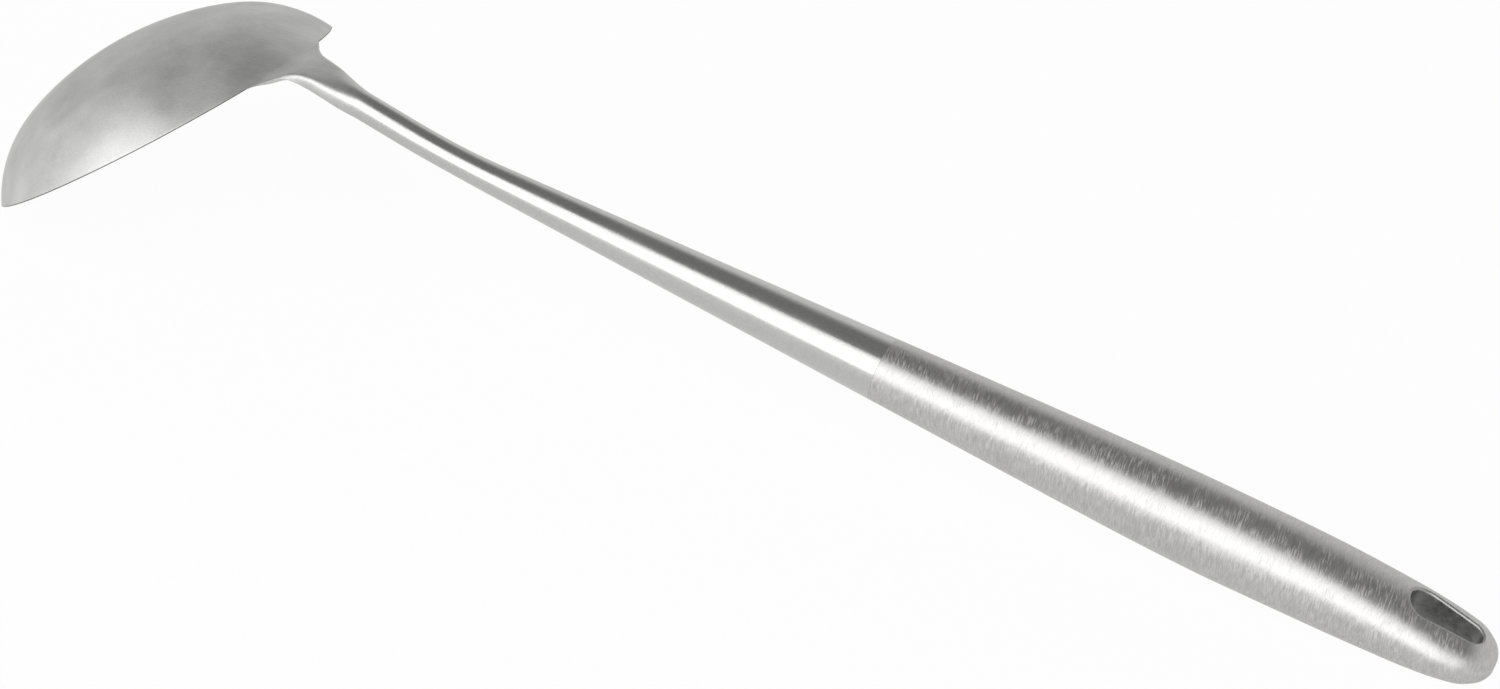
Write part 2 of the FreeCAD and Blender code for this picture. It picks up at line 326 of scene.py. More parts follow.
@dataclass
class RolledTongue:
    """The tongue that leaves the rim, falls away, and rolls up into the shank.

    Attributes:
        bowl: The bowl that it leaves.
        half_angle: Degrees of the rim, each side of the middle, that it takes up.
        start_drop: Degrees that it falls below the rim's plane where it leaves the rim.
        top: Pieces of the top line: lengths, and the fall in degrees at the end of each.
        rim_shares, tube_shares: Shares of the half width that are middle and fold, at the
            rim and where the tube has closed.
        steps: Distance from the rim; half width, widths of middle and fold; then the
            degrees that middle, fold and flange turn.
        rolled_at: Distance at which the tube has closed.
        lean: Length over which the sections come to stand square to the top line.
        gap: Width of the seam.
        radius: Outside radius of the even tube.
        even_to, swell, weld_at, weld_radius: Where the tube starts to swell, over which
            length, and where and how wide it meets the grip.
        weld_lip, weld_row: Radius of both tubes' edges at the weld, and how far from it
            the next row of each stands.
    """

    bowl: BowlProfile = field(default_factory=BowlProfile)
    half_angle: float = 17.8
    start_drop: float = 10.0
    top: tuple[tuple[float, float], ...] = ((8.35, 38.0), (8.45, 49.0), (23.7, 49.0), (32.0, 43.0))
    rim_shares: tuple[float, float] = (0.712, 0.119)
    tube_shares: tuple[float, float] = (0.237, 0.284)
    steps: tuple[tuple[float, ...], ...] = (
        (0.8, 13.8, 12.0, 0.8, 8.0, 5.0, 1.0), (1.6, 12.0, 10.7, 0.8, 4.0, 12.0, 0.5),
        (2.6, 10.3, 9.3, 0.8, 3.0, 26.0, 0.5), (4.0, 9.0, 7.9, 0.9, 3.0, 46.0, 2.0),
        (6.0, 8.1, 6.4, 1.0, 3.0, 64.0, 8.0), (8.0, 7.9, 5.4, 1.2, 3.0, 73.0, 17.0),
        (11.0, 8.3, 4.6, 1.5, 5.0, 76.0, 35.0), (14.0, 9.0, 4.0, 2.0, 10.0, 72.0, 54.0),
        (18.0, 9.8, 3.3, 2.5, 20.0, 64.0, 71.0), (22.0, 10.4, 2.7, 2.8, 30.0, 56.0, 80.0))
    rolled_at: float = 26.0
    lean: float = 3.0
    gap: float = 0.25
    radius: float = 4.05
    even_to: float = 52.5
    swell: float = 16.0
    weld_at: float = 193.9
    weld_radius: float = 8.87
    weld_lip: float = 0.13
    weld_row: float = 0.25

    @property
    def middle_radius(self) -> float:
        """Radius of the even tube's middle surface."""
        return self.radius - self.bowl.sheet / 2.0

    @property
    def curved_to(self) -> float:
        """Distance from the rim at which the handle runs straight."""
        return sum(length for length, _ in self.top)

    @property
    def handle_drop(self) -> float:
        """Fall of the straight handle, in degrees."""
        return self.top[-1][1]

    def rim_wall(self) -> float:
        """Width of the sheet where the rim's plane cuts it."""
        inner, _ = self.bowl.outline(self.bowl.sheet, 0.0, 40)
        return self.bowl.rim_radius - float(inner[-1])

    def top_line(self, distance: float) -> tuple[Array, float]:
        """Outside of the middle line: arcs that follow one another, then a straight line.

        Args:
            distance: Length along it from the rim.

        Returns:
            The point, and the slope there in degrees.
        """
        point, drop = np.array([self.bowl.rim_radius, 0.0, 0.0]), self.start_drop
        for length, end in self.top:
            part = min(max(distance, 0.0), length)
            turn = (end - drop) * part / length
            if abs(turn) < 1e-9:
                point = point + falling(drop) * part
            else:
                point = point + (square_to(drop + turn) - square_to(drop)) * part / math.radians(turn)
            drop += turn
            distance -= length
        return point + falling(drop) * max(distance, 0.0), drop

    def measures(self, distance: float) -> Array:
        """Measures of a section, read smoothly between the steps.

        Args:
            distance: How far along the tongue.

        Returns:
            Half width, widths of middle and fold, and the degrees that middle, fold and flange turn.
        """
        seam = self.gap / 2.0 / self.middle_radius
        rim_mid = self.bowl.rim_radius - self.rim_wall() / 2.0
        rows = []
        for place, width, bend, shares in (
                (0.0, rim_mid * math.radians(self.half_angle), rim_mid, self.rim_shares),
                (self.rolled_at, self.middle_radius * (math.pi - seam), self.middle_radius,
                 self.tube_shares)):
            parts = [width * shares[0], width * shares[1], width * (1.0 - sum(shares))]
            rows.append((place, width, *parts[:2], *[math.degrees(part / bend) for part in parts]))
        table = np.array([rows[0], *self.steps, rows[1]])
        here = np.array([distance])
        return np.array([smooth_through(here, table[:, 0], column)[0] for column in table.T[1:]])

    def section(self, distance: float, across: Array) -> tuple[Array, Array, Array]:
        """One section of the rolled sheet.

        The sheet's heading grows from the middle to the free edge through the turns of
        middle, fold and flange.  The middle surface is the integral of the heading's
        direction, and both faces stand half a wall from it.

        Args:
            distance: How far along the tongue.
            across: Shares of the half width, from 0 to 1.

        Returns:
            Outer points, inner points, and the direction out of the sheet's edge.
        """
        top, drop = self.top_line(distance)
        square = float(ease(np.array(distance / self.lean)))
        up = square_to(90.0 + (drop - 90.0) * square)
        wall = self.rim_wall() + (self.bowl.sheet - self.rim_wall()) * square
        width, centre, fold, *turns = self.measures(distance)
        parts = np.cumsum([0.0, *turns])
        fine = np.linspace(0.0, 1.0, 12 * (len(across) - 1) + 1)
        spots = [0.0, centre, centre + fold, width]
        heading = np.radians(smooth_through(fine * width, spots, parts))
        over = running_sum(np.cos(heading), fine * width)
        under = running_sum(np.sin(heading), fine * width)
        over, under, heading = (np.interp(across, fine, line) for line in (over, under, heading))
        normal = np.outer(np.cos(heading), up) + np.outer(np.sin(heading), SIDEWAYS)
        middle = top - up * wall / 2.0 + np.outer(over, SIDEWAYS) - np.outer(under, up)
        edge = SIDEWAYS * math.cos(heading[-1]) - up * math.sin(heading[-1])
        return middle + normal * wall / 2.0, middle - normal * wall / 2.0, edge

    def tube_radius(self, place: Array) -> Array:
        """Outside radius of the shank: even, a short swell, then a straight taper."""
        taper = (self.weld_radius - self.radius) / (self.weld_at - self.even_to - self.swell / 2.0)
        past = np.maximum(place - self.even_to, 0.0)
        curve = taper * past ** 2 / (2.0 * self.swell)
        return self.radius + np.where(past < self.swell, curve, taper * (past - self.swell / 2.0))

    def axis_point(self, place: Array) -> Array:
        """Points on the straight handle's axis, by their distance from the rim."""
        top, _ = self.top_line(self.curved_to)
        origin = top - square_to(self.handle_drop) * self.radius
        return origin + np.multiply.outer(place - self.curved_to, falling(self.handle_drop))

    def handle_points(self, place: Array, y: Array, z: Array) -> Array:
        """Points given along the axis, across it, and above it."""
        up = square_to(self.handle_drop)
        points = self.axis_point(place) + np.multiply.outer(z, up)
        points[..., 1] += y
        return points

    def ring(self, place: float, across: Array) -> tuple[Array, Array, Array]:
        """A section of the closed tube: two arcs of one turn, parted by the seam below.

        Args:
            place: How far along the tongue.
            across: Shares of the half width, from 0 to 1.

        Returns:
            Outer points, inner points, and the direction out of the sheet's edge.
        """
        top, drop = self.top_line(place)
        up = square_to(drop)
        outer = float(self.tube_radius(np.array(place)))
        turn = across * (math.pi - self.gap / 2.0 / (outer - self.bowl.sheet / 2.0))
        spokes = np.outer(np.sin(turn), SIDEWAYS) + np.outer(np.cos(turn), up)
        middle = top - up * self.radius
        edge = SIDEWAYS * math.cos(turn[-1]) - up * math.sin(turn[-1])
        return middle + spokes * outer, middle + spokes * (outer - self.bowl.sheet), edge


@dataclass
class SheetPiece:
    """Bowl, neck and shank: one sheet with two faces and softly rounded edges.

    Attributes:
        tongue: The tongue and shank, with the bowl that they leave.
        columns: Columns across half of the tongue.
        rows: Rows from the crown to the rim.
        free_columns: Columns round the rest of the rim.
        swell: How far the rim's edge stands out.
        side_swell: The same for the tongue's sides, as a share of the rim's.
        bend: Length over which the wall bends into the tongue, to each side of the rim.
        half_girth: Half width of the tongue that the lay of its finish is drawn on.
    """

    tongue: RolledTongue = field(default_factory=RolledTongue)
    columns: int = 48
    rows: int = 60
    free_columns: int = 230
    swell: float = 0.32
    side_swell: float = 0.6
    bend: float = 2.8
    half_girth: float = 17.0

    def both_sides(self, half: Array) -> Array:
        """Mirror a half section in the plane of symmetry and join the two halves."""
        return np.concatenate([half[::-1] * MIRROR, half[1:]])

    def strip(self) -> tuple[Array, Array, Array, Array]:
        """Faces of the tongue and shank, section by section.

        Returns:
            Outer grid, inner grid, edge directions, and the distance of each row.
        """
        tongue = self.tongue
        across = np.linspace(0.0, 1.0, self.columns + 1)
        near = np.concatenate([np.linspace(0.0, tongue.lean, 16),
                               np.linspace(tongue.lean, tongue.rolled_at, 62)[1:]])
        swollen = tongue.even_to + tongue.swell
        far = np.concatenate([np.linspace(tongue.rolled_at, tongue.even_to, 22)[1:],
                              np.linspace(tongue.even_to, swollen, 14)[1:],
                              np.linspace(swollen, tongue.weld_at - tongue.weld_row, 46)[1:],
                              [tongue.weld_at - tongue.weld_lip]])
        sections = [tongue.section(distance, across) for distance in near]
        sections += [tongue.ring(place, across) for place in far]
        outer, inner = (np.array([self.both_sides(s[k]) for s in sections]) for k in (0, 1))
        return outer, inner, np.array([s[2] for s in sections]), np.concatenate([near, far])

    def soften(self, grid: Array, run: Array) -> Array:
        """Round the bend between wall and tongue, more in the middle than at the sides.

        Every column is averaged along its run with a bell of its own length.  The length
        falls to nothing at both sides, where the column stays on the free edges.

        Args:
            grid: Rows from the crown through the rim to the shank.
            run: Length from the rim to each row, negative on the bowl.

        Returns:
            The grid with a soft bend.
        """
        share = np.linspace(-1.0, 1.0, grid.shape[1])
        reach = self.bend * (1.0 - np.abs(share) ** 4)
        bell = np.linspace(-1.0, 1.0, 17)
        weight = (1.0 - bell ** 2) ** 2
        rows = np.abs(run) < 2.0 * self.bend
        fade = ease((2.0 * self.bend - np.abs(run[rows])) / self.bend)[:, None]
        soft = grid.copy()
        for column, length in enumerate(reach):
            spots = run[rows][:, None] + fade * length * bell
            for axis in range(3):
                values = np.interp(spots, run, grid[:, column, axis])
                soft[rows, column, axis] = (values * weight).sum(axis=1) / weight.sum()
        return soft

    def patches(self) -> list[Patch]:
        """All faces and edges of the sheet."""
        tongue, bowl = self.tongue, self.tongue.bowl
        outer, inner, edges, distance = self.strip()
        half = math.radians(tongue.half_angle)
        shared = half * np.linspace(-1.0, 1.0, 2 * self.columns + 1)
        free = np.linspace(half, 2.0 * math.pi - half, self.free_columns + 1)
        far = np.concatenate([[-self.swell], distance])
        found: list[Patch] = []
        rims: list[Array] = []
        for offset, strip in ((0.0, outer), (bowl.sheet, inner)):
            wall = bowl.revolve(offset, self.swell, shared, self.rows)
            steps = np.linalg.norm(np.diff(wall[:, self.columns], axis=0), axis=1)
            up_wall = -self.swell - np.append(np.cumsum(steps[::-1])[::-1], 0.0)
            whole = self.soften(np.concatenate([wall, strip]), np.concatenate([up_wall, distance]))
            wall, strip = whole[:self.rows], whole[self.rows - 1:]
            rest = bowl.revolve(offset, self.swell, free, self.rows)
            found += [Patch(wall, self.bowl_lay(wall, shared)), Patch(rest, self.bowl_lay(rest, free))]
            found.append(Patch(strip, self.strip_lay(far[:, None], strip.shape[1])))
            rims += [strip, rest[-1]]
        end = self.end_lip(rims[0][-1], rims[2][-1], distance[-1])
        down = np.array([0.0, 0.0, -1.0])
        corner = down + [-math.sin(half), math.cos(half), 0.0]
        out = np.concatenate([[corner], np.tile(down, (len(free) - 2, 1)), [corner * MIRROR]])
        rim = rounded_edge(rims[1], rims[3], out, self.swell)
        # The rim's edge face wears the second finish, a dark colour that is painted shade.
        found.append(Patch(rim, self.bowl_lay(rim, free), 1))
        for column, side in ((-1, np.ones(3)), (0, MIRROR)):
            outer, inner = rims[0][:, column], rims[2][:, column]
            out = np.concatenate([[corner], edges]) * side
            edge = rounded_edge(outer, inner, out, self.side_swell * self.swell)
            edge[:, 0] = rounded_edge(outer[:1], inner[:1], out[:1], self.swell)[:, 0]
            over = self.half_girth + np.linspace(0.0, 1.5, len(edge))
            lay = lay_grid(far[None], over[:, None])
            found.append(Patch(edge, lay))
            found.append(Patch(np.stack([edge[:, -1], end.points[:, column]]), lay[:, -2:].swapaxes(0, 1)))
        return found + [end]

    def strip_lay(self, far: Array, columns: int) -> Array:
        """Lay of the tongue's and shank's finish: the distance, and the length across."""
        return lay_grid(far, np.linspace(-self.half_girth, self.half_girth, columns)[None])

    def bowl_lay(self, grid: Array, turns: Array) -> Array:
        """Lay of the bowl's finish: how far inside the rim, and the length round it."""
        inward = np.linalg.norm(grid[..., :2], axis=-1) - self.tongue.bowl.rim_radius
        return lay_grid(inward - 1.0, turns * self.tongue.bowl.rim_radius)

    def end_lip(self, outer: Array, inner: Array, distance: float) -> Patch:
        """End of the tube at the weld: a small step inward, then the flat cut.

        Args:
            outer: Outside of the tube's last section.
            inner: Its inside.
            distance: How far from the rim it stands.

        Returns:
            The end's patch, from the outside to the inside.
        """
        ahead = falling(self.tongue.handle_drop) * self.tongue.weld_lip
        narrower = self.tongue.weld_lip / self.tongue.weld_radius
        middle = self.tongue.axis_point(np.array(self.tongue.weld_at - self.tongue.weld_lip))
        rows = [middle + (outer - middle) * (1.0 - inward * narrower) + ahead * forward
                for forward, inward in ROUNDING]
        flat = inner + ahead - rows[-1]
        rows += [rows[-1] + flat * share for share in (0.25, 0.5, 0.75, 1.0)] + [inner]
        grid = np.array(rows)
        return Patch(grid, self.strip_lay(np.full((len(rows), 1), distance), grid.shape[1]))


# The grip

@dataclass
class GripPiece:
    """The hollow grip: a swelling tube, pressed flatter to its nose, with a hanging slot.

    Attributes:
        tongue: The shank that it continues, for the handle's axis.
        swell: Places along the axis and the round tube's radius there.
        press: Places along the axis, then the section's height over the axis, its depth
            under the axis, and its half width.
        nose_at, cap: Where the nose ends, and the flat that its press leaves.
        nose_corner, nose_round: Lengths over which the width and the thickness close.
        slot_at, slot_length: The slot's middle and length.
        slot_ends: Radii of its wide end and of its narrow end by the nose.
        lip: Radius of the slot's rounded mouth.
        window: Places between which the columns run round the slot.
        columns: Columns round the tube, a multiple of four.
        side_steps: Steps along each side of the slot.
        power: Exponent of the pressed section's superellipse.
        pressed_from, pressed_over: Where the exponent starts to rise, and over which length.
        lay_radius: Mean radius that the brushing is drawn on.
    """

    tongue: RolledTongue = field(default_factory=RolledTongue)
    swell: tuple[tuple[float, float], ...] = (
        (193.9, 8.87), (215.4, 9.66), (237.4, 10.46), (257.4, 11.16), (270.4, 11.54),
        (283.4, 11.77), (294.0, 11.85), (400.0, 11.85))
    press: tuple[tuple[float, float, float, float], ...] = (
        (270.0, 1.0, 1.0, 1.0), (290.0, 1.0, 0.99, 1.0), (305.0, 0.995, 0.93, 1.012),
        (320.0, 0.953, 0.845, 1.018), (335.0, 0.862, 0.752, 1.015), (344.0, 0.785, 0.684, 1.01),
        (351.0, 0.692, 0.595, 0.99), (357.0, 0.61, 0.515, 0.905), (362.0, 0.54, 0.44, 0.83))
    nose_at: float = 365.6
    cap: float = 0.15
    nose_corner: float = 9.5
    nose_round: float = 8.0
    slot_at: float = 350.0
    slot_length: float = 20.0
    slot_ends: tuple[float, float] = (4.8, 3.4)
    lip: float = 0.7
    window: tuple[float, float] = (331.8, 362.6)
    columns: int = 160
    side_steps: int = 26
    power: float = 2.12
    pressed_from: float = 300.0
    pressed_over: float = 30.0
    lay_radius: float = 10.8

    def closing(self, place: Array, length: float, power: float) -> Array:
        """1 along the grip and down to 0 at the nose, as the end of an oval."""
        inward = 1.0 - np.clip((self.nose_at - place) / length, 0.0, 1.0)
        return (1.0 - inward ** power) ** (1.0 / power)

    def half_sizes(self, place: Array) -> tuple[Array, Array, Array]:
        """Height over the axis, depth under it and half width: shares of the tube's radius."""
        radius = smooth_through(place, *zip(*self.swell))
        spots, *shares = zip(*self.press)
        high, deep, wide = (radius * smooth_through(place, spots, share) for share in shares)
        flat = self.closing(place, self.nose_round, 2.0)
        return high * flat, deep * flat, wide * self.closing(place, self.nose_corner, 2.3)

    def exponent(self, place: Array) -> Array:
        """Exponent of the section: 2 where it is round, more where it is pressed."""
        return 2.0 + (self.power - 2.0) * ease((place - self.pressed_from) / self.pressed_over)

    def surface(self, place: Array, turn: Array) -> Array:
        """Points of the outside: across and above are powers of the sine and cosine of the turn.

        Args:
            place: Places along the axis.
            turn: Angles round it, 0 at the top and a quarter turn at +y.

        Returns:
            The points, in the bowl's frame.
        """
        high, deep, wide = self.half_sizes(place)
        share = 2.0 / self.exponent(place)
        across = np.sign(np.sin(turn)) * np.abs(np.sin(turn)) ** share
        above = np.where(np.cos(turn) > 0.0, high, -deep) * np.abs(np.cos(turn)) ** share
        return self.tongue.handle_points(place, wide * across, above)

    def lay(self, place: Array, turn: Array) -> Array:
        """Lay of the brushing: along the axis, and round at one mean radius."""
        return lay_grid(place, turn * self.lay_radius)

    def slot_ring(self, grow: float) -> tuple[Array, Array]:
        """Outline of the slot: two arcs of unequal radius joined by their common tangents.

        The tangents touch both circles at the same angle, a quarter turn less the angle
        whose sine is the radii's difference over the centres' distance.

        Args:
            grow: How far outside the slot to run.

        Returns:
            Places along the axis and across it, starting at the +y end of the wide arc.
        """
        wide, narrow = self.slot_ends
        left, right = wide - self.slot_length / 2.0, self.slot_length / 2.0 - narrow
        touch = math.pi / 2.0 - math.asin((wide - narrow) / (right - left))
        step = np.linspace(0.0, 1.0, self.columns // 2, endpoint=False)
        arcs = []
        for middle, radius, start, sweep in ((left, wide + grow, touch, 2.0 * (math.pi - touch)),
                                             (right, narrow + grow, -touch, 2.0 * touch)):
            around = start + sweep * step
            arcs.append(np.stack([middle + radius * np.cos(around), radius * np.sin(around)]))
        first, last = arcs[0][:, :1], arcs[1][:, :1]
        flip, share = np.array([[1.0], [-1.0]]), np.linspace(0.0, 1.0, self.side_steps, endpoint=False)
        low = first * flip + (last - first * flip) * share
        high = last * flip + (first - last * flip) * share
        ring = np.concatenate([arcs[0], low, arcs[1], high, first], axis=1)
        return ring[0] + self.slot_at, ring[1]

    def around_slot(self, above: float) -> list[Patch]:
        """Metal round the slot on one face, and the rounded mouth of the slot.

        The grid runs from the slot's mouth to the borders of a window in place and turn, and
        is eased outward between them, then put on the outside surface.

        Args:
            above: 1 for the upper face and -1 for the lower.

        Returns:
            The face's patch and the mouth's patch.
        """
        x, y = self.slot_ring(self.lip)
        wide = self.half_sizes(x)[2]
        turn = np.arcsin(np.sign(y) * np.abs(y / wide) ** (self.exponent(x) / 2.0))
        quarter, (left, right) = math.pi / 2.0, self.window
        edge = np.linspace(quarter, -quarter, self.columns // 2, endpoint=False)
        along = np.linspace(left, right, self.side_steps, endpoint=False)
        border = [(np.full_like(edge, left), edge), (along, np.full_like(along, -quarter)),
                  (np.full_like(edge, right), -edge), (left + right - along, np.full_like(along, quarter)),
                  (np.array([left]), np.array([quarter]))]
        window_x, window_turn = (np.concatenate(parts) for parts in zip(*border))
        share = (np.linspace(0.0, 1.0, 17) ** 1.35)[:, None]
        place = x + (window_x - x) * share
        angle = turn + (window_turn - turn) * share
        angle = angle if above > 0 else math.pi - angle
        face = Patch(self.surface(place, angle), self.lay(place, angle))
        tilt = np.linspace(0.0, quarter, 6)[:, None]
        grow = 1.0 - np.sin(tilt)
        ring_x, ring_y = self.slot_ring(0.0)
        mouth_x, mouth_y = ring_x + (x - ring_x) * grow, ring_y + (y - ring_y) * grow
        mouth_z = above * (self.mouth_height(x, y, above) - self.lip * (1.0 - np.cos(tilt)))
        mouth = self.tongue.handle_points(mouth_x, mouth_y, mouth_z)
        mouth[0] = face.points[0]
        # The slot's mouth wears the second finish, darkened as painted shade.
        return [face, Patch(mouth, lay_grid(mouth_x, mouth_y), 1)]

    def mouth_height(self, x: Array, y: Array, above: float) -> Array:
        """Distance of the upper or lower face from the axis at a place and a distance across."""
        high, deep, wide = self.half_sizes(x)
        power = self.exponent(x)
        return np.where(above > 0.0, high, deep) * (1.0 - np.abs(y / wide) ** power) ** (1.0 / power)

    def patches(self) -> list[Patch]:
        """The tube, the pressed faces, the slot and the nose."""
        left, right = self.window
        turn = np.linspace(0.5 * math.pi, -1.5 * math.pi, self.columns + 1)
        weld, lip, row = self.tongue.weld_at, self.tongue.weld_lip, self.tongue.weld_row
        tube = np.concatenate([[weld + lip], np.linspace(weld + row, left, 92)])
        found = [self.rings(tube, turn), self.start_lip(turn)]
        found += self.around_slot(1.0) + self.around_slot(-1.0)
        mouth = self.slot_ring(self.lip)
        high, deep = (self.mouth_height(*mouth, above) - self.lip for above in (1.0, -1.0))
        levels = high - (high + deep) * np.linspace(0.0, 1.0, 12)[:, None]
        x, y = (np.broadcast_to(part, levels.shape) for part in self.slot_ring(0.0))
        # The slot's inner wall wears the second finish, darkened as painted shade.
        found.append(Patch(self.tongue.handle_points(x, y, levels), lay_grid(x, levels), 1))
        last = self.nose_at - self.cap
        closing = last - (last - right) * (1.0 - np.sin(np.linspace(0.0, math.pi / 2.0, 22)))
        found.append(self.rings(closing, turn))
        cap = self.surface(np.full(len(turn), last), turn)
        middle = self.tongue.axis_point(np.array(last))
        disc = middle + (cap - middle) * np.linspace(1.0, 0.0, 5)[:, None, None]
        found.append(Patch(disc, self.lay(np.full(disc.shape[:2], last), turn)))
        return found

    def rings(self, places: Array, turn: Array) -> Patch:
        """Sections of the outside at the given places."""
        place, angle = np.broadcast_arrays(places[:, None], turn[None])
        return Patch(self.surface(place, angle), self.lay(place, angle))

    def start_lip(self, turn: Array) -> Patch:
        """Start of the grip at the weld: a small step inward, then a closed end.

        Args:
            turn: Angles round the tube, one for each column.

        Returns:
            The start's patch, from the outside to the axis.
        """
        start = self.tongue.weld_at + self.tongue.weld_lip
        rim = self.surface(np.full(len(turn), start), turn)
        middle = self.tongue.axis_point(np.array(start))
        ahead = falling(self.tongue.handle_drop) * self.tongue.weld_lip
        narrower = self.tongue.weld_lip / self.tongue.weld_radius
        steps = [(back, 1.0 - inward * narrower) for back, inward in ROUNDING] + [(1.0, 0.604), (1.0, 0.0)]
        grid = np.array([middle + (rim - middle) * share - ahead * back for back, share in steps])
        return Patch(grid, self.lay(np.full(grid.shape[:2], self.tongue.weld_at), turn))


# Shader expressions

class Wire:
    """A shader socket that adds Math nodes when it is used in arithmetic."""

    def __init__(self, graph: "Graph", socket: Any) -> None:
        """Keep the graph and the socket that it wraps."""
        self.graph, self.socket = graph, socket

    def _math(self, operation: str, first: Any, second: Any) -> "Wire":
        """Add one Math node and give its result."""
        return self.graph.node("ShaderNodeMath", {"operation": operation}, {0: first, 1: second})

    def __add__(self, other: Any) -> "Wire":
        """Sum."""
        return self._math("ADD", self, other)

    __radd__ = __add__

    def __sub__(self, other: Any) -> "Wire":
        """Difference."""
        return self._math("SUBTRACT", self, other)

    def __rsub__(self, other: Any) -> "Wire":
        """Difference, reflected."""
        return self._math("SUBTRACT", other, self)

    def __mul__(self, other: Any) -> "Wire":
        """Product."""
        return self._math("MULTIPLY", self, other)

    __rmul__ = __mul__


class Graph:
    """The node tree of one material or world."""

    def __init__(self, tree: bpy.types.NodeTree) -> None:
        """Clear the tree and keep it."""
        self.tree = tree
        tree.nodes.clear()

    def node(self, kind: str, settings: dict[str, Any] | None = None,
             inputs: dict[Any, Any] | None = None, output: Any = 0) -> Wire:
        """Add a node.

        Args:
            kind: The node's type.
            settings: Its properties.
            inputs: Values or Wires for its sockets, by name or number.
            output: Which of its outputs to give back.

        Returns:
            That output, wrapped.
        """
        made = self.tree.nodes.new(kind)
        for name, value in (settings or {}).items():
            setattr(made, name, value)
        for name, value in (inputs or {}).items():
            socket = made.inputs[name]
            if isinstance(value, Wire):
                self.tree.links.new(value.socket, socket)
            else:
                socket.default_value = value
        return Wire(self, made.outputs[output] if made.outputs else None)

    def clamped(self, value: Wire, low: float, high: float, start: float = 0.0, end: float = 1.0) -> Wire:
        """Read a value from one span to another with eased ends."""
        return self.node("ShaderNodeMapRange", {"interpolation_type": "SMOOTHSTEP"},
                         {"Value": value, "From Min": low, "From Max": high, "To Min": start, "To Max": end})

    def noise(self, vector: Wire, scale: float, detail: float = 2.0, rough: float = 0.5) -> Wire:
        """Soft noise between 0 and 1."""
        return self.node("ShaderNodeTexNoise", {"noise_dimensions": "3D"},
                         {"Vector": vector, "Scale": scale, "Detail": detail, "Roughness": rough})

    def streaks(self, vector: Wire, scale: Triple, turn: Triple = (0.0, 0.0, 0.0),
                detail: float = 2.0, rough: float = 0.5) -> Wire:
        """Noise on coordinates that are turned and then scaled apart.

        Args:
            vector: The coordinates.
            scale: How fine the noise is along each turned axis.
            turn: Angles about x, y and z in radians.
            detail: How many finer layers the noise has.
            rough: How strong those layers are.

        Returns:
            The noise, between 0 and 1.
        """
        turned = self.node("ShaderNodeMapping", {"vector_type": "TEXTURE"},
                           {"Vector": vector, "Rotation": turn})
        apart = self.node("ShaderNodeMapping", {"vector_type": "POINT"},
                          {"Vector": turned, "Scale": scale})
        return self.noise(apart, 1.0, detail, rough)


class Grain(Enum):
    """Which way a metal finish runs."""

    CLOUDY = "cloudy"
    CROSSWISE = "crosswise"
    MOTTLED = "mottled"


# What a painter gives back: tone of the colour, roughness, and height for the bump
Coat = tuple[Wire, Wire, Wire]


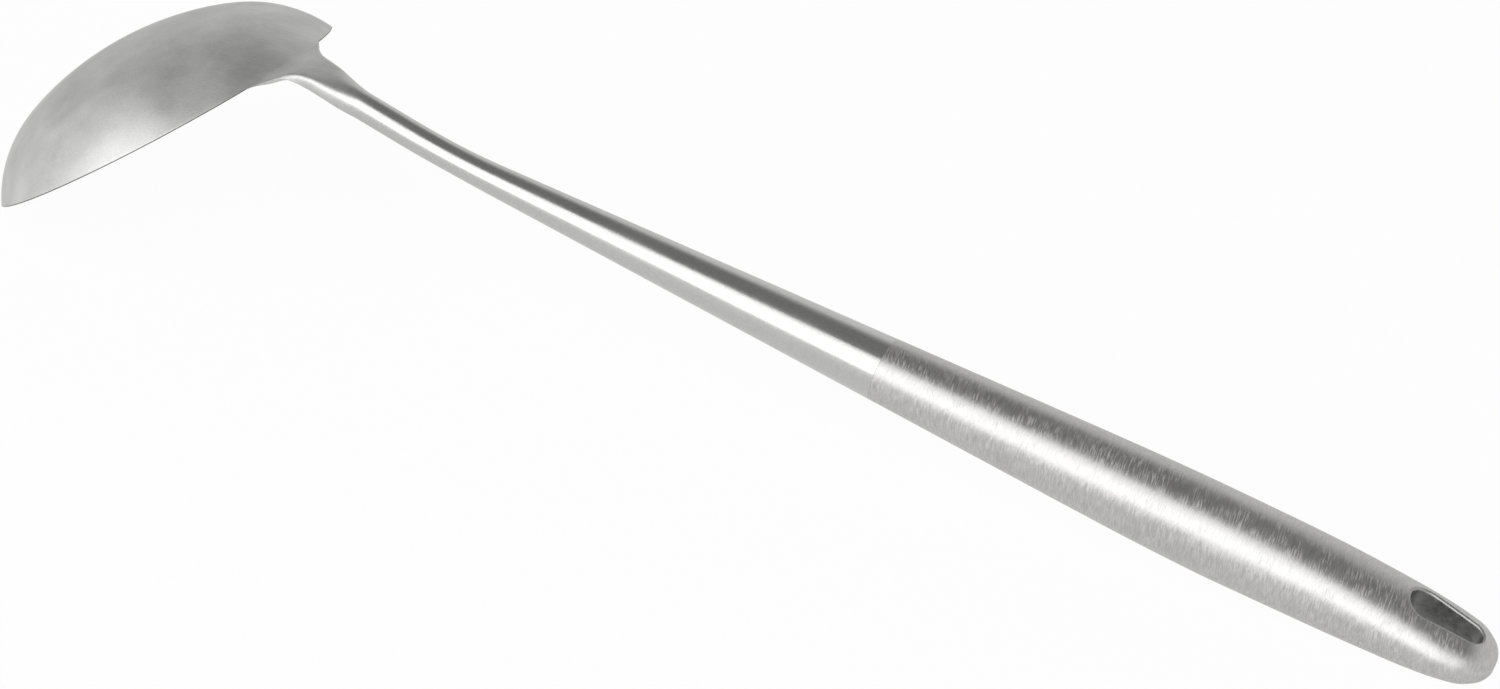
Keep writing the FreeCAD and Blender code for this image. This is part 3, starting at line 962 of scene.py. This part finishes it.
@dataclass(frozen=True)
class SteelFinish:
    """A finish on stainless steel, painted from object coordinates and from the lay.

    Attributes:
        name: Name of the material.
        colour: Colour of the metal.
        roughness: Mean roughness.
        grain: Which way the finish runs.
        relief: Depth of the scratches in the bump, in metres.
    """

    name: str
    colour: Triple
    roughness: float
    grain: Grain
    relief: float

    def make(self) -> bpy.types.Material:
        """Build the material."""
        material = bpy.data.materials.new(self.name)
        material.use_nodes = True
        graph = Graph(material.node_tree)
        place = graph.node("ShaderNodeTexCoord", output="Object")
        lay = graph.node("ShaderNodeUVMap", {"uv_map": "lay"})
        paint = {Grain.CLOUDY: self._cloudy, Grain.CROSSWISE: self._crosswise,
                 Grain.MOTTLED: self._mottled}[self.grain]
        tone, rough, height = paint(graph, place, lay)
        colour = graph.node("ShaderNodeMix", {"data_type": "RGBA"}, {
            "Factor": tone,
            6: tuple(part * 0.80 for part in self.colour) + (1.0,),
            7: tuple(min(part * 1.14, 1.0) for part in self.colour) + (1.0,)}, output=2)
        bump = graph.node("ShaderNodeBump", None, {
            "Strength": 0.5, "Distance": self.relief, "Height": height})
        shader = graph.node("ShaderNodeBsdfPrincipled", None, {
            "Base Color": colour, "Metallic": 1.0, "Roughness": rough, "Normal": bump})
        graph.node("ShaderNodeOutputMaterial", None, {"Surface": shader})
        return material

    def _cloudy(self, graph: Graph, place: Wire, lay: Wire) -> Coat:
        """Satin sheet: soft clouds and fine hairlines, smoother and drawn out along the shank.

        Args:
            graph: The material's graph.
            place: Object coordinates.
            lay: Lay of the finish.

        Returns:
            The coat.
        """
        along = graph.node("ShaderNodeSeparateXYZ", None, {"Vector": lay}, output="X")
        shank = graph.clamped(along, 0.008, 0.034)
        clouds = graph.noise(place, 34.0, 4.0, 0.6)
        patches = graph.streaks(place, (60.0, 90.0, 60.0), (0.3, 0.2, 0.9), 3.0, 0.55)
        hair_a = graph.streaks(place, (90.0, 2600.0, 2600.0), (0.0, 0.4, 0.7))
        hair_b = graph.streaks(place, (2400.0, 110.0, 2400.0), (0.3, 0.0, 0.5))
        drawn = graph.streaks(lay, (30.0, 5200.0, 1.0), rough=0.6)
        clear = 1.0 - shank
        tone = 0.5 + (clouds - 0.5) * 1.5 * clear + (patches - 0.5) * 1.3 * clear + (hair_a - 0.5) * 0.9
        tone = tone + (drawn - 0.5) * 0.4 * shank - shank * 0.3
        rough = self.roughness + (clouds - 0.5) * 0.22 + (patches - 0.5) * 0.12 - shank * 0.27
        height = (hair_a * 0.5 + hair_b * 0.5) * clear + drawn * shank * 0.6
        return tone, rough, height

    def _crosswise(self, graph: Graph, place: Wire, lay: Wire) -> Coat:
        """Brushed tube: short strokes round it, with a few longer ones at a slant.

        Args:
            graph: The material's graph.
            place: Object coordinates.
            lay: Lay of the finish.

        Returns:
            The coat.
        """
        fine = graph.streaks(lay, (3600.0, 330.0, 1.0), detail=3.0, rough=0.6)
        broad = graph.streaks(lay, (1300.0, 190.0, 1.0), (0.0, 0.0, 0.12), rough=0.6)
        slanted = graph.streaks(lay, (2600.0, 240.0, 1.0), (0.0, 0.0, -0.35))
        clouds = graph.noise(place, 40.0, 3.0, 0.55)
        strokes = fine * 0.5 + broad * 0.3 + slanted * 0.2
        marks = graph.streaks(lay, (2900.0, 300.0, 1.0), (0.0, 0.0, 0.2), 1.0)
        patchy = graph.clamped(graph.noise(lay, 160.0, 1.0), 0.25, 0.6)
        flecks = graph.clamped(marks, 0.46, 0.68) * patchy
        tone = 0.5 + (strokes - 0.5) * 3.2 + (clouds - 0.5) * 0.4 + flecks * 0.8
        rough = self.roughness + (broad - 0.5) * 0.14 + (clouds - 0.5) * 0.08 + flecks * 0.24
        return tone, rough, strokes

    def _mottled(self, graph: Graph, place: Wire, lay: Wire) -> Coat:
        """Dull inner wall: small soft spots over broader ones.

        Args:
            graph: The material's graph.
            place: Object coordinates.
            lay: Lay of the finish.

        Returns:
            The coat.
        """
        spots = graph.noise(place, 520.0, 3.0, 0.6)
        broad = graph.noise(place, 170.0, 2.0, 0.5)
        worn = graph.streaks(lay, (900.0, 300.0, 1.0))
        tone = 0.5 + (spots - 0.5) * 2.0 + (broad - 0.5) * 1.6 + (worn - 0.5) * 0.6
        rough = self.roughness + (spots - 0.5) * 0.3 + (broad - 0.5) * 0.2
        return tone, rough, spots * 0.6 + broad * 0.4


# Table, light and camera

@dataclass
class Studio:
    """A pale table, a white surround, one broad soft light and the camera.

    Attributes:
        reach: Half the table's side in metres.
        floor_colour: Colour of the table.
        to_eye, to_metal: How much of the table's white the camera and the metal see.
        lamp_at, lamp_aim: Where the soft light hangs and what it faces, in metres.
        lamp_size, lamp_power: Its width and height in metres, and its power in watts.
        lens, sensor: Focal length and sensor width in millimetres.
        eye: The camera's place in metres.
        right, up: The camera's own axes.
    """

    reach: float = 4.0
    floor_colour: Triple = (0.88, 0.88, 0.88)
    to_eye: float = 0.96
    to_metal: float = 0.45
    lamp_at: Triple = (-0.20, -1.45, 1.05)
    lamp_aim: Triple = (0.0, 0.0, 0.05)
    lamp_size: tuple[float, float] = (3.1, 1.9)
    lamp_power: float = 26.0
    lens: float = 62.4
    sensor: float = 36.0
    eye: Triple = (0.263703, -0.528496, 0.419004)
    right: Triple = (0.8828194, 0.4650641, 0.0659192)
    up: Triple = (-0.3104783, 0.4724563, 0.8248565)

    def build(self) -> None:
        """Set up the surroundings and the camera."""
        self.floor()
        self.surround()
        self.lamp()
        self.camera()
        bpy.context.scene.view_settings.view_transform = "Standard"

    def floor(self) -> None:
        """Lay the table top, which stays white to the eye and to the metal above it."""
        mesh = bpy.data.meshes.new("table_top")
        corners = [(self.reach * x, self.reach * y, 0.0) for x, y in ((-1, -1), (1, -1), (1, 1), (-1, 1))]
        mesh.from_pydata(corners, [], [(0, 1, 2, 3)])
        top = bpy.data.objects.new("table_top", mesh)
        bpy.context.scene.collection.objects.link(top)
        material = bpy.data.materials.new("table_white")
        material.use_nodes = True
        graph = Graph(material.node_tree)
        matt = graph.node("ShaderNodeBsdfDiffuse", None, {"Color": self.floor_colour + (1.0,)})
        white = graph.node("ShaderNodeEmission", None, {"Color": WHITE, "Strength": 1.0})
        eye = graph.node("ShaderNodeLightPath", output="Is Camera Ray")
        gloss = graph.node("ShaderNodeLightPath", output="Is Glossy Ray")
        share = eye * self.to_eye + gloss * self.to_metal
        both = graph.node("ShaderNodeMixShader", None, {0: share, 1: matt, 2: white})
        graph.node("ShaderNodeOutputMaterial", None, {"Surface": both})
        mesh.materials.append(material)

    def surround(self) -> None:
        """Colour the surround: a pale wall low down that darkens overhead and to the left."""
        world = bpy.data.worlds.new("studio")
        bpy.context.scene.world = world
        world.use_nodes = True
        graph = Graph(world.node_tree)
        direction = graph.node("ShaderNodeTexCoord", output="Generated")
        height = graph.node("ShaderNodeSeparateXYZ", None, {"Vector": direction}, output="Z")
        side = graph.node("ShaderNodeSeparateXYZ", None, {"Vector": direction}, output="X")
        level = graph.clamped(height, 0.42, 0.86, 0.80, 0.22) * graph.clamped(side, -0.95, -0.2, 0.74, 1.0)
        eye = graph.node("ShaderNodeLightPath", output="Is Camera Ray")
        strength = level * (1.0 - eye) + eye
        light = graph.node("ShaderNodeBackground", None, {"Color": WHITE, "Strength": strength})
        graph.node("ShaderNodeOutputWorld", None, {"Surface": light})

    def lamp(self) -> None:
        """Hang one broad soft light over the front of the table."""
        lamp = bpy.data.lights.new("front_panel", "AREA")
        lamp.shape, lamp.energy = "RECTANGLE", self.lamp_power
        lamp.size, lamp.size_y = self.lamp_size
        holder = bpy.data.objects.new("front_panel", lamp)
        bpy.context.scene.collection.objects.link(holder)
        holder.location = self.lamp_at
        facing = Vector(self.lamp_aim) - Vector(self.lamp_at)
        holder.rotation_euler = facing.to_track_quat("-Z", "Y").to_euler()

    def camera(self) -> None:
        """Stand the camera where the picture was taken from."""
        data = bpy.data.cameras.new("camera")
        data.lens, data.sensor_width, data.sensor_fit = self.lens, self.sensor, "HORIZONTAL"
        data.clip_start, data.clip_end = 0.02, 20.0
        eye = bpy.data.objects.new("camera", data)
        right, up = Vector(self.right), Vector(self.up)
        back = right.cross(up)
        frame_axes = Matrix((right, up, back)).transposed().to_4x4()
        eye.matrix_world = Matrix.Translation(self.eye) @ frame_axes
        bpy.context.scene.collection.objects.link(eye)
        bpy.context.scene.camera = eye


# The ladle

@dataclass
class Ladle:
    """The ladle's two pieces and their finishes.

    Attributes:
        placement: Where it lies.
        sheet: Bowl, neck and shank.
        grip: The grip.
        satin, brushed, rim_edge_painted_shade, slot_wall_painted_shade: The finishes. The rim's edge and the
        slot's inner wall wear darker colours that are painted shade.
    """

    placement: Placement = field(default_factory=Placement)
    sheet: SheetPiece = field(default_factory=SheetPiece)
    grip: GripPiece = field(default_factory=GripPiece)
    satin: SteelFinish = SteelFinish("satin_sheet", (0.68, 0.68, 0.67), 0.52, Grain.CLOUDY, 3.0e-5)
    brushed: SteelFinish = SteelFinish("brushed_grip", (0.57, 0.565, 0.555), 0.35, Grain.CROSSWISE, 8.0e-5)
    # Dark colour on the rim's edge face: painted shade.
    rim_edge_painted_shade: SteelFinish = SteelFinish("rim_edge_painted_shade", (0.17, 0.17, 0.165), 0.42, Grain.CLOUDY, 2.0e-5)
    # Darker colour on the slot's inner wall and mouth: painted shade in the hollow.
    slot_wall_painted_shade: SteelFinish = SteelFinish("slot_wall_painted_shade", (0.42, 0.42, 0.415), 0.42, Grain.MOTTLED, 4.0e-4)

    def build(self) -> None:
        """Make both pieces, dress them and hang them on the frame."""
        finishes = [self.satin.make(), self.rim_edge_painted_shade.make()]
        sheet = make_piece("ladle_sheet", self.sheet.patches(), finishes, self.placement)
        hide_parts("bowl_and_shank")
        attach(sheet, "root")
        finishes = [self.brushed.make(), self.slot_wall_painted_shade.make()]
        grip = make_piece("ladle_grip", self.grip.patches(), finishes, self.placement)
        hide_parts("grip")
        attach(grip, "root")


def main() -> None:
    """Build the ladle and the studio."""
    logging.basicConfig(level=logging.INFO, format="%(message)s")
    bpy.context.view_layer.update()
    Ladle().build()
    Studio().build()
    LOG.info("boxes written")


if __name__ == "__main__":
    main()
